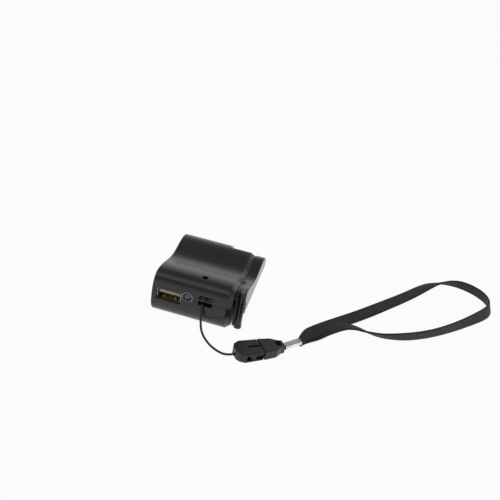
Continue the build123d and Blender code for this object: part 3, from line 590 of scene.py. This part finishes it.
@dataclass(frozen=True)
class Studio:
    """Pale floor, white surroundings and soft lamps."""

    floor_size: float = 6.0
    floor_grey: float = 0.86
    floor_roughness: float = 0.9
    floor_share: float = 0.95
    ceiling: float = 0.30
    fill_share: float = 0.30
    backdrop_top: tuple[float, float] = (0.22, 0.64)
    boxes: tuple[Softbox, ...] = (
        Softbox("top_box", (0.0, -0.24, 0.88), (1.2, 0.6), 1.7),
        Softbox("ceiling_fill", (0.05, 0.1, 0.95), (0.9, 0.9), 1.6, mirrored=False),
        Softbox("left_box", (-0.8, -0.25, 0.40), (0.3, 0.4), 0.5),
    )

    def seen(self, tree: Tree) -> Shade:
        """Share of rays that look at the surroundings.

        Args:
            tree: the material's tree.

        Returns:
            One for camera, glossy and transmission rays.
        """
        path = tree.raw("ShaderNodeLightPath")
        camera = Shade(tree, path.outputs["Is Camera Ray"])
        glossy = Shade(tree, path.outputs["Is Glossy Ray"])
        through = Shade(tree, path.outputs["Is Transmission Ray"])
        return camera.largest(glossy).largest(through)

    def floor_material(self) -> bpy.types.Material:
        """White floor that keeps a faint shadow."""
        material, tree, shader = new_material("pale_floor")
        shader.inputs["Base Color"].default_value = (self.floor_grey, self.floor_grey, self.floor_grey, 1.0)
        shader.inputs["Roughness"].default_value = self.floor_roughness
        glow = tree.node("ShaderNodeEmission", None, {"Color": WHITE, "Strength": 1.0})
        lit = Shade(tree, shader.outputs[0])
        share = self.seen(tree) * self.floor_share
        both = tree.node("ShaderNodeMixShader", None, {0: share, 1: lit, 2: glow})
        link(tree, both, tree.tree.nodes["Material Output"].inputs["Surface"])
        return material

    def build_world(self) -> None:
        """White surroundings that grow darker overhead for mirrored rays, and dimmer for scattered ones."""
        world = bpy.data.worlds.new("studio")
        world.use_nodes = True
        tree = Tree(world.node_tree)
        ground = world.node_tree.nodes["Background"]
        ground.inputs["Color"].default_value = WHITE
        direction = tree.raw("ShaderNodeSeparateXYZ", None, {"Vector": tree.node("ShaderNodeTexCoord")})
        height = Shade(tree, direction.outputs[2]).smooth(*self.backdrop_top)
        path = tree.raw("ShaderNodeLightPath")
        camera = Shade(tree, path.outputs["Is Camera Ray"])
        through = Shade(tree, path.outputs["Is Transmission Ray"])
        diffuse = Shade(tree, path.outputs["Is Diffuse Ray"])
        around = (1.0 - (1.0 - self.ceiling) * height) * (1.0 - (1.0 - self.fill_share) * diffuse)
        link(tree, around.largest(camera.largest(through)), ground.inputs["Strength"])
        bpy.context.scene.world = world

    def build_floor(self) -> None:
        """Lay the floor."""
        half = self.floor_size / 2
        mesh = bpy.data.meshes.new("floor")
        corners = [(-half, -half, 0.0), (half, -half, 0.0), (half, half, 0.0), (-half, half, 0.0)]
        mesh.from_pydata(corners, [], [(0, 1, 2, 3)])
        mesh.materials.append(self.floor_material())
        floor = bpy.data.objects.new("floor", mesh)
        bpy.context.scene.collection.objects.link(floor)

    def build(self) -> None:
        """Set the surroundings, the floor and the lamps."""
        self.build_world()
        self.build_floor()
        for box in self.boxes:
            box.build()
        bpy.context.scene.view_settings.view_transform = "Standard"


# ---- Helpers for pieces ----
ROUTE_STEPS = 12                 # points on a smooth line between two of its control points
CORD_ROUNDNESS = 5               # steps in each quarter of a cord's section


@dataclass(frozen=True)
class Box:
    """Corners of a CAD node's box, in millimetres."""

    low: Vector
    high: Vector

    @classmethod
    def of(cls, node: str) -> "Box":
        """Measure a node in the frame.

        Args:
            node: the node's name.

        Returns:
            Its box.
        """
        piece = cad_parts[node]
        corners = np.array([tuple(piece.matrix_world @ Vector(corner)) for corner in piece.bound_box]) / MM
        return cls(Vector(corners.min(axis=0)), Vector(corners.max(axis=0)))

    @property
    def middle(self) -> Vector:
        """Centre of the box."""
        return (self.low + self.high) / 2


def route_curve(name: str, points: list[Point], radius: float = 0.0) -> bpy.types.Object:
    """Lay a smooth curve along a route.

    Args:
        name: the piece's name.
        points: control points in millimetres.
        radius: half the cord's thickness in metres, or 0 for a bare line.

    Returns:
        The curve.
    """
    data = bpy.data.curves.new(name, "CURVE")
    data.dimensions = "3D"
    data.bevel_depth = radius
    data.bevel_resolution = CORD_ROUNDNESS
    data.resolution_u = ROUTE_STEPS
    spline = data.splines.new("NURBS")
    spline.points.add(len(points) - 1)
    for point, (x, y, z) in zip(spline.points, points):
        point.co = (x * MM, y * MM, z * MM, 1.0)
    spline.order_u = 3
    spline.use_endpoint_u = True
    piece = bpy.data.objects.new(name, data)
    bpy.context.scene.collection.objects.link(piece)
    return piece


def line_of(points: list[Point]) -> np.ndarray:
    """Read the points of a route's smooth line.

    Args:
        points: control points in millimetres.

    Returns:
        Points in metres, one a row.
    """
    guide = route_curve("guide", points)
    bpy.context.view_layer.update()
    mesh = bpy.data.meshes.new_from_object(guide.evaluated_get(bpy.context.evaluated_depsgraph_get()))
    line = np.array([tuple(vertex.co) for vertex in mesh.vertices])
    bpy.data.objects.remove(guide)
    bpy.data.meshes.remove(mesh)
    return line


def mesh_piece(name: str, vertices: list, faces: list, material: bpy.types.Material) -> bpy.types.Object:
    """Make an object from points and faces.

    Args:
        name: the piece's name.
        vertices: points in metres.
        faces: lists of point numbers.
        material: its finish.

    Returns:
        The piece.
    """
    mesh = bpy.data.meshes.new(name)
    mesh.from_pydata([tuple(map(float, v)) for v in vertices], [], faces)
    mesh.materials.append(material)
    for polygon in mesh.polygons:
        polygon.use_smooth = True
    piece = bpy.data.objects.new(name, mesh)
    bpy.context.scene.collection.objects.link(piece)
    return piece


def tube_faces(rings: int, sides: int) -> list[tuple[int, ...]]:
    """Join rings of points into a closed tube.

    Args:
        rings: how many rings.
        sides: points in each.

    Returns:
        The faces as lists of point numbers.
    """
    faces = []
    for i in range(rings - 1):
        for j in range(sides):
            k = (j + 1) % sides
            faces.append((i * sides + j, i * sides + k, (i + 1) * sides + k, (i + 1) * sides + j))
    faces.append(tuple(range(sides - 1, -1, -1)))
    faces.append(tuple((rings - 1) * sides + j for j in range(sides)))
    return faces


class Sculpt:
    """Geometry Nodes tree with named inputs, baked to a plain mesh."""

    def __init__(self, name: str, sizes: dict[str, float | int]) -> None:
        """Start a tree.

        Args:
            name: the tree's name.
            sizes: its inputs with their values.
        """
        self.name = name
        self.sizes = sizes
        self.group = bpy.data.node_groups.new(name, "GeometryNodeTree")
        self.group.interface.new_socket("Geometry", in_out="INPUT", socket_type="NodeSocketGeometry")
        for label, value in sizes.items():
            kind = "NodeSocketInt" if isinstance(value, int) else "NodeSocketFloat"
            self.group.interface.new_socket(label, in_out="INPUT", socket_type=kind)
        self.group.interface.new_socket("Geometry", in_out="OUTPUT", socket_type="NodeSocketGeometry")
        self.tree = Tree(self.group)
        self.start = self.group.nodes.new("NodeGroupInput")

    def size(self, label: str) -> Shade:
        """Give one named input."""
        return Shade(self.tree, self.start.outputs[label])

    def bake(self, points: list[Point], shape: Shade, material: bpy.types.Material) -> bpy.types.Object:
        """Close the tree and turn its result into a mesh.

        Args:
            points: places in millimetres that the tree starts from.
            shape: the geometry to keep.
            material: its finish.

        Returns:
            The piece.
        """
        whole = self.tree.node("GeometryNodeRealizeInstances", None, {0: shape})
        done = self.tree.node("GeometryNodeSetMaterial", None, {"Geometry": whole})
        done.socket.node.inputs["Material"].default_value = material
        end = self.group.nodes.new("NodeGroupOutput")
        self.group.links.new(done.socket, end.inputs[0])
        mesh = bpy.data.meshes.new(self.name)
        mesh.from_pydata([tuple(c * MM for c in p) for p in points], [], [])
        piece = bpy.data.objects.new(self.name, mesh)
        modifier = piece.modifiers.new("shape", "NODES")
        modifier.node_group = self.group
        for item in self.group.interface.items_tree:
            if item.item_type == "SOCKET" and item.in_out == "INPUT" and item.name in self.sizes:
                modifier[item.identifier] = self.sizes[item.name]
        bpy.context.scene.collection.objects.link(piece)
        bpy.context.view_layer.update()
        graph = bpy.context.evaluated_depsgraph_get()
        baked = bpy.data.meshes.new_from_object(piece.evaluated_get(graph))
        piece.modifiers.remove(modifier)
        piece.data = baked
        if not baked.materials:
            baked.materials.append(material)
        return piece


def keep(piece: bpy.types.Object, body: str) -> bpy.types.Object:
    """Put a piece on a body and log which body it rides on.

    Args:
        piece: the new piece.
        body: the body it moves with.

    Returns:
        The piece.
    """
    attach(piece, body)
    LOG.info("%s rides on %s", piece.name, body)
    return piece


# ---- Sub-assemblies ----
@dataclass
class Lanyard:
    """Thin cord from the eye, and the woven loop beyond the buckle. Sizes in millimetres."""

    paints: Paints
    cord_length: float = 40.0
    cord_radius: float = 0.6
    strap_length: float = 315.0
    strap_width: float = 9.0
    strap_thickness: float = 1.1
    ground_gap: float = 0.05
    lap_points: int = 3              # points from the sleeve over which one end lies on the other
    lap_lift: float = 1.1            # its rise there, in thicknesses
    taper: float = 15.0              # length over which the tape narrows to its sleeve
    narrowest: float = 0.42
    face_steps: int = 10
    turn_places: tuple[float, ...] = (0, 4, 6, 8, 9, 10, 12, 14, 16, 18, 20, 22.4, 24.5, 26, 28)
    turn_degrees: tuple[float, ...] = (0, 3, 12, 29, 46, 58, 63, 69, 90, 110, 119, 149, 174, 180, 180)
    turn_blur: tuple[float, ...] = (-0.75, -0.5, -0.25, 0.0, 0.25, 0.5, 0.75)
    eye: Point = (5.05, -29.25, 17.6)
    sleeve: tuple[float, float] = (55.877, -18.609)

    def cord_points(self) -> list[Point]:
        """Route of the thin cord, as in the part's source."""
        x, y, z = self.eye
        return [
            (x - 1.1, y - 0.2, z - 1.6), (x - 1.2, y - 2.0, z - 3.0), (x - 0.8, y - 2.1, z - 7.4),
            (x - 0.2, y - 2.2, 5.4), (x + 0.7, y - 3.0, 2.4), (x + 2.6, y - 5.0, 0.8),
            (x + 5.6, y - 8.6, 0.62), (x + 9.6, y - 12.2, 0.62), (x + 14.4, y - 14.6, 0.62),
            (x + 18.4, y - 15.0, 0.66), (26.9, -43.3, 1.7),
        ]

    def strap_points(self) -> list[tuple[float, float]]:
        """Ground plan of the woven loop, as in the part's source."""
        return [
            self.sleeve, (58.6, -10.0), (63.6, -1.2), (72.8, 11.2), (84.2, 25.0), (97.4, 42.8),
            (110.4, 60.6), (120.0, 75.4), (125.4, 81.8), (132.6, 86.6), (141.0, 88.2), (149.0, 85.8),
            (155.4, 81.0), (159.4, 74.4), (160.2, 66.6), (156.8, 58.4), (149.6, 48.6), (138.6, 34.6),
            (125.8, 21.2), (114.6, 12.6), (106.2, 8.4), (97.6, 5.6), (89.6, 6.4), (82.4, 8.8),
            (75.6, 8.2), (69.2, 2.8), (63.4, -5.0), (58.8, -12.4), self.sleeve,
        ]

    def turn_at(self, place: float) -> float:
        """Turn of the tape about its own line.

        Args:
            place: how far along the route, counted in its points.

        Returns:
            The turn in radians: 0 flat, a quarter on its edge, a half flat again.
        """
        spread = [place + step for step in self.turn_blur]
        return radians(float(np.mean(np.interp(spread, self.turn_places, self.turn_degrees))))

    def pinch(self, distance: float) -> float:
        """Narrowing of the tape where it enters its sleeve.

        Args:
            distance: metres from the sleeve along the tape.

        Returns:
            The share of the full width.
        """
        share = min(1.0, distance / (self.taper * MM))
        return self.narrowest + (1 - self.narrowest) * share * share * (3 - 2 * share)

    def section(self) -> list[tuple[float, float]]:
        """Outline of the tape: flat faces and round edges.

        Returns:
            Points across the tape and through it, in metres.
        """
        thick = self.strap_thickness / 2 * MM
        inner = self.strap_width / 2 * MM - thick
        steps = self.face_steps
        edge = (pi / 4, pi / 2, 3 * pi / 4)
        points = [(-inner + 2 * inner * k / steps, -thick) for k in range(steps + 1)]
        points += [(inner + thick * sin(a), -thick * cos(a)) for a in edge]
        points += [(inner - 2 * inner * k / steps, thick) for k in range(steps + 1)]
        points += [(-inner - thick * sin(a), thick * cos(a)) for a in edge]
        return points

    def strap_route(self) -> list[Point]:
        """Raise the ground plan so that the tape's lower edge rests on the ground."""
        route = []
        for k, (x, y) in enumerate(self.strap_points()):
            turn = self.turn_at(k)
            rise = (self.strap_width * abs(sin(turn)) + self.strap_thickness * abs(cos(turn))) / 2
            lift = max(0.0, 1.0 - k / self.lap_points) * self.lap_lift * self.strap_thickness
            route.append((x, y, rise + lift + self.ground_gap))
        return route

    def strap_skin(self, line: np.ndarray) -> tuple[list[Vector], list[tuple[float, float]]]:
        """Sweep the tape's section along its line.

        Args:
            line: points of the line in metres.

        Returns:
            The skin's points, ring by ring, and each one's place on the cloth map.
        """
        ahead = np.gradient(line, axis=0)
        ahead /= np.linalg.norm(ahead, axis=1)[:, None]
        run = np.concatenate([[0.0], np.cumsum(np.linalg.norm(np.diff(line, axis=0), axis=1))])
        half = self.strap_width / 2 * MM
        count = len(self.strap_points()) - 1
        vertices, places = [], []
        for i, point in enumerate(line):
            turn = self.turn_at(i / (len(line) - 1) * count)
            tangent = Vector(ahead[i])
            inward = tangent.cross(Vector((0.0, 0.0, 1.0))).normalized()
            upward = inward.cross(tangent).normalized()
            wide = inward * cos(turn) + upward * sin(turn)
            out = wide.cross(tangent).normalized()
            pinch = self.pinch(min(run[i], run[-1] - run[i]))
            for across, through in self.section():
                vertices.append(Vector(point) + wide * (across * pinch) + out * through)
                places.append(((across / half + 1) / 2, run[i]))
        return vertices, places

    def build_cord(self) -> None:
        """Thin round cord from the eye to the buckle."""
        points = self.cord_points()
        cord = route_curve("neck_cord", points, self.cord_radius * MM)
        cord.data.materials.append(self.paints.get(CORD))
        keep(cord, "housing")
        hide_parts("lanyard_cord")
        start = tuple(c * MM for c in points[0])

    def build_strap(self) -> None:
        """Woven loop with half a turn in it."""
        line = line_of(self.strap_route())
        vertices, places = self.strap_skin(line)
        faces = tube_faces(len(line), len(self.section()))
        strap = mesh_piece("wrist_tape", vertices, faces, self.paints.get(CLOTH))
        layer = strap.data.uv_layers.new(name="cloth")
        for loop in strap.data.loops:
            layer.data[loop.index].uv = places[loop.vertex_index]
        keep(strap, "buckle_plug")
        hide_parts("wrist_strap")

    def build(self) -> None:
        """Make the cord and the loop."""
        self.build_cord()
        self.build_strap()


@dataclass
class Receptacle:
    """Leaf springs inside the socket. Sizes in millimetres."""

    paints: Paints
    sheet: float = 0.3
    leaf: Point = (1.5, 5.0, 0.35)
    leaf_gap: float = 0.12
    leaf_inset: float = 4.5
    leaf_offset: float = 3.0

    def build(self) -> None:
        """Four springs pressed out of the metal shell."""
        width, length, height = self.leaf
        sculpt = Sculpt("socket_springs", {"Width": width * MM, "Length": length * MM, "Height": height * MM})
        tree = sculpt.tree
        sides = {number: sculpt.size(label) for number, label in enumerate(("Width", "Length", "Height"))}
        size = tree.node("ShaderNodeCombineXYZ", None, sides)
        leaf = tree.node("GeometryNodeMeshCube", None, {"Size": size})
        places = tree.node("GeometryNodeMeshToPoints", None, {0: sculpt.size("Geometry")})
        leaves = tree.node("GeometryNodeInstanceOnPoints", None, {"Points": places, "Instance": leaf})
        shell = Box.of("usb_shell")
        inset = self.sheet + self.leaf_gap
        points = [
            (shell.middle.x + offset, shell.low.y + self.leaf_inset, z)
            for offset in (-self.leaf_offset, self.leaf_offset)
            for z in (shell.high.z - inset, shell.low.z + inset)
        ]
        keep(sculpt.bake(points, leaves, self.paints.get(PLATED)), "housing")


@dataclass
class Torch:
    """Reflector cup inside the clear lamp. Sizes in millimetres."""

    paints: Paints
    profile: tuple[tuple[float, float], ...] = ((0.45, 5.0), (0.95, 4.3), (1.05, 4.3), (1.05, 6.4))
    turns: int = 32

    def build(self) -> None:
        """Turn the cup and set it in the lamp."""
        lamp = Box.of("torch_lamp")
        level = Box.of("torch_ring").middle.z
        vertices = []
        for k in range(self.turns):
            angle = 2 * pi * k / self.turns
            for radius, depth in self.profile:
                place = (lamp.middle.x + radius * cos(angle), lamp.low.y + depth, level + radius * sin(angle))
                vertices.append(tuple(c * MM for c in place))
        ring = len(self.profile)
        faces = []
        for k in range(self.turns):
            n = (k + 1) % self.turns
            for j in range(ring - 1):
                faces.append((k * ring + j, k * ring + j + 1, n * ring + j + 1, n * ring + j))
        faces.append(tuple(k * ring for k in range(self.turns)))
        faces.append(tuple(k * ring + ring - 1 for k in reversed(range(self.turns))))
        keep(mesh_piece("lamp_cup", vertices, faces, self.paints.get(CUP)), "housing")


@dataclass
class Choke:
    """Copper winding round the choke's core. Sizes in millimetres."""

    paints: Paints
    core_radius: float = 2.45
    wire_radius: float = 0.14
    turns: float = 8.0
    height: float = 2.1
    above_board: float = 0.9

    def build(self) -> None:
        """Wind the wire round the core."""
        sculpt = Sculpt("choke_winding", {
            "Core": self.core_radius * MM, "Wire": self.wire_radius * MM, "Turns": self.turns,
            "Height": self.height * MM,
        })
        tree = sculpt.tree
        spiral = tree.node("GeometryNodeCurveSpiral", None, {
            "Resolution": 24, "Rotations": sculpt.size("Turns"), "Start Radius": sculpt.size("Core"),
            "End Radius": sculpt.size("Core"), "Height": sculpt.size("Height"),
        })
        wire = tree.node(
            "GeometryNodeCurvePrimitiveCircle", None, {"Resolution": 8, "Radius": sculpt.size("Wire")}
        )
        coil = tree.node(
            "GeometryNodeCurveToMesh", None, {"Curve": spiral, "Profile Curve": wire, "Fill Caps": True}
        )
        places = tree.node("GeometryNodeMeshToPoints", None, {0: sculpt.size("Geometry")})
        coils = tree.node("GeometryNodeInstanceOnPoints", None, {"Points": places, "Instance": coil})
        core = Box.of("choke")
        foot = (core.middle.x, core.middle.y, core.low.z + self.above_board)
        keep(sculpt.bake([foot], coils, self.paints.get(COPPER)), "housing")


def main() -> None:
    """Build the studio and every sub-assembly."""
    logging.basicConfig(level=logging.INFO, format="%(name)s: %(message)s")
    Camera().build()
    paints = Paints()
    Lanyard(paints).build()
    Studio().build()
    paints.dress_frame()
    for assembly in (Receptacle(paints), Torch(paints), Choke(paints)):
        assembly.build()


if __name__ == "__main__":
    main()
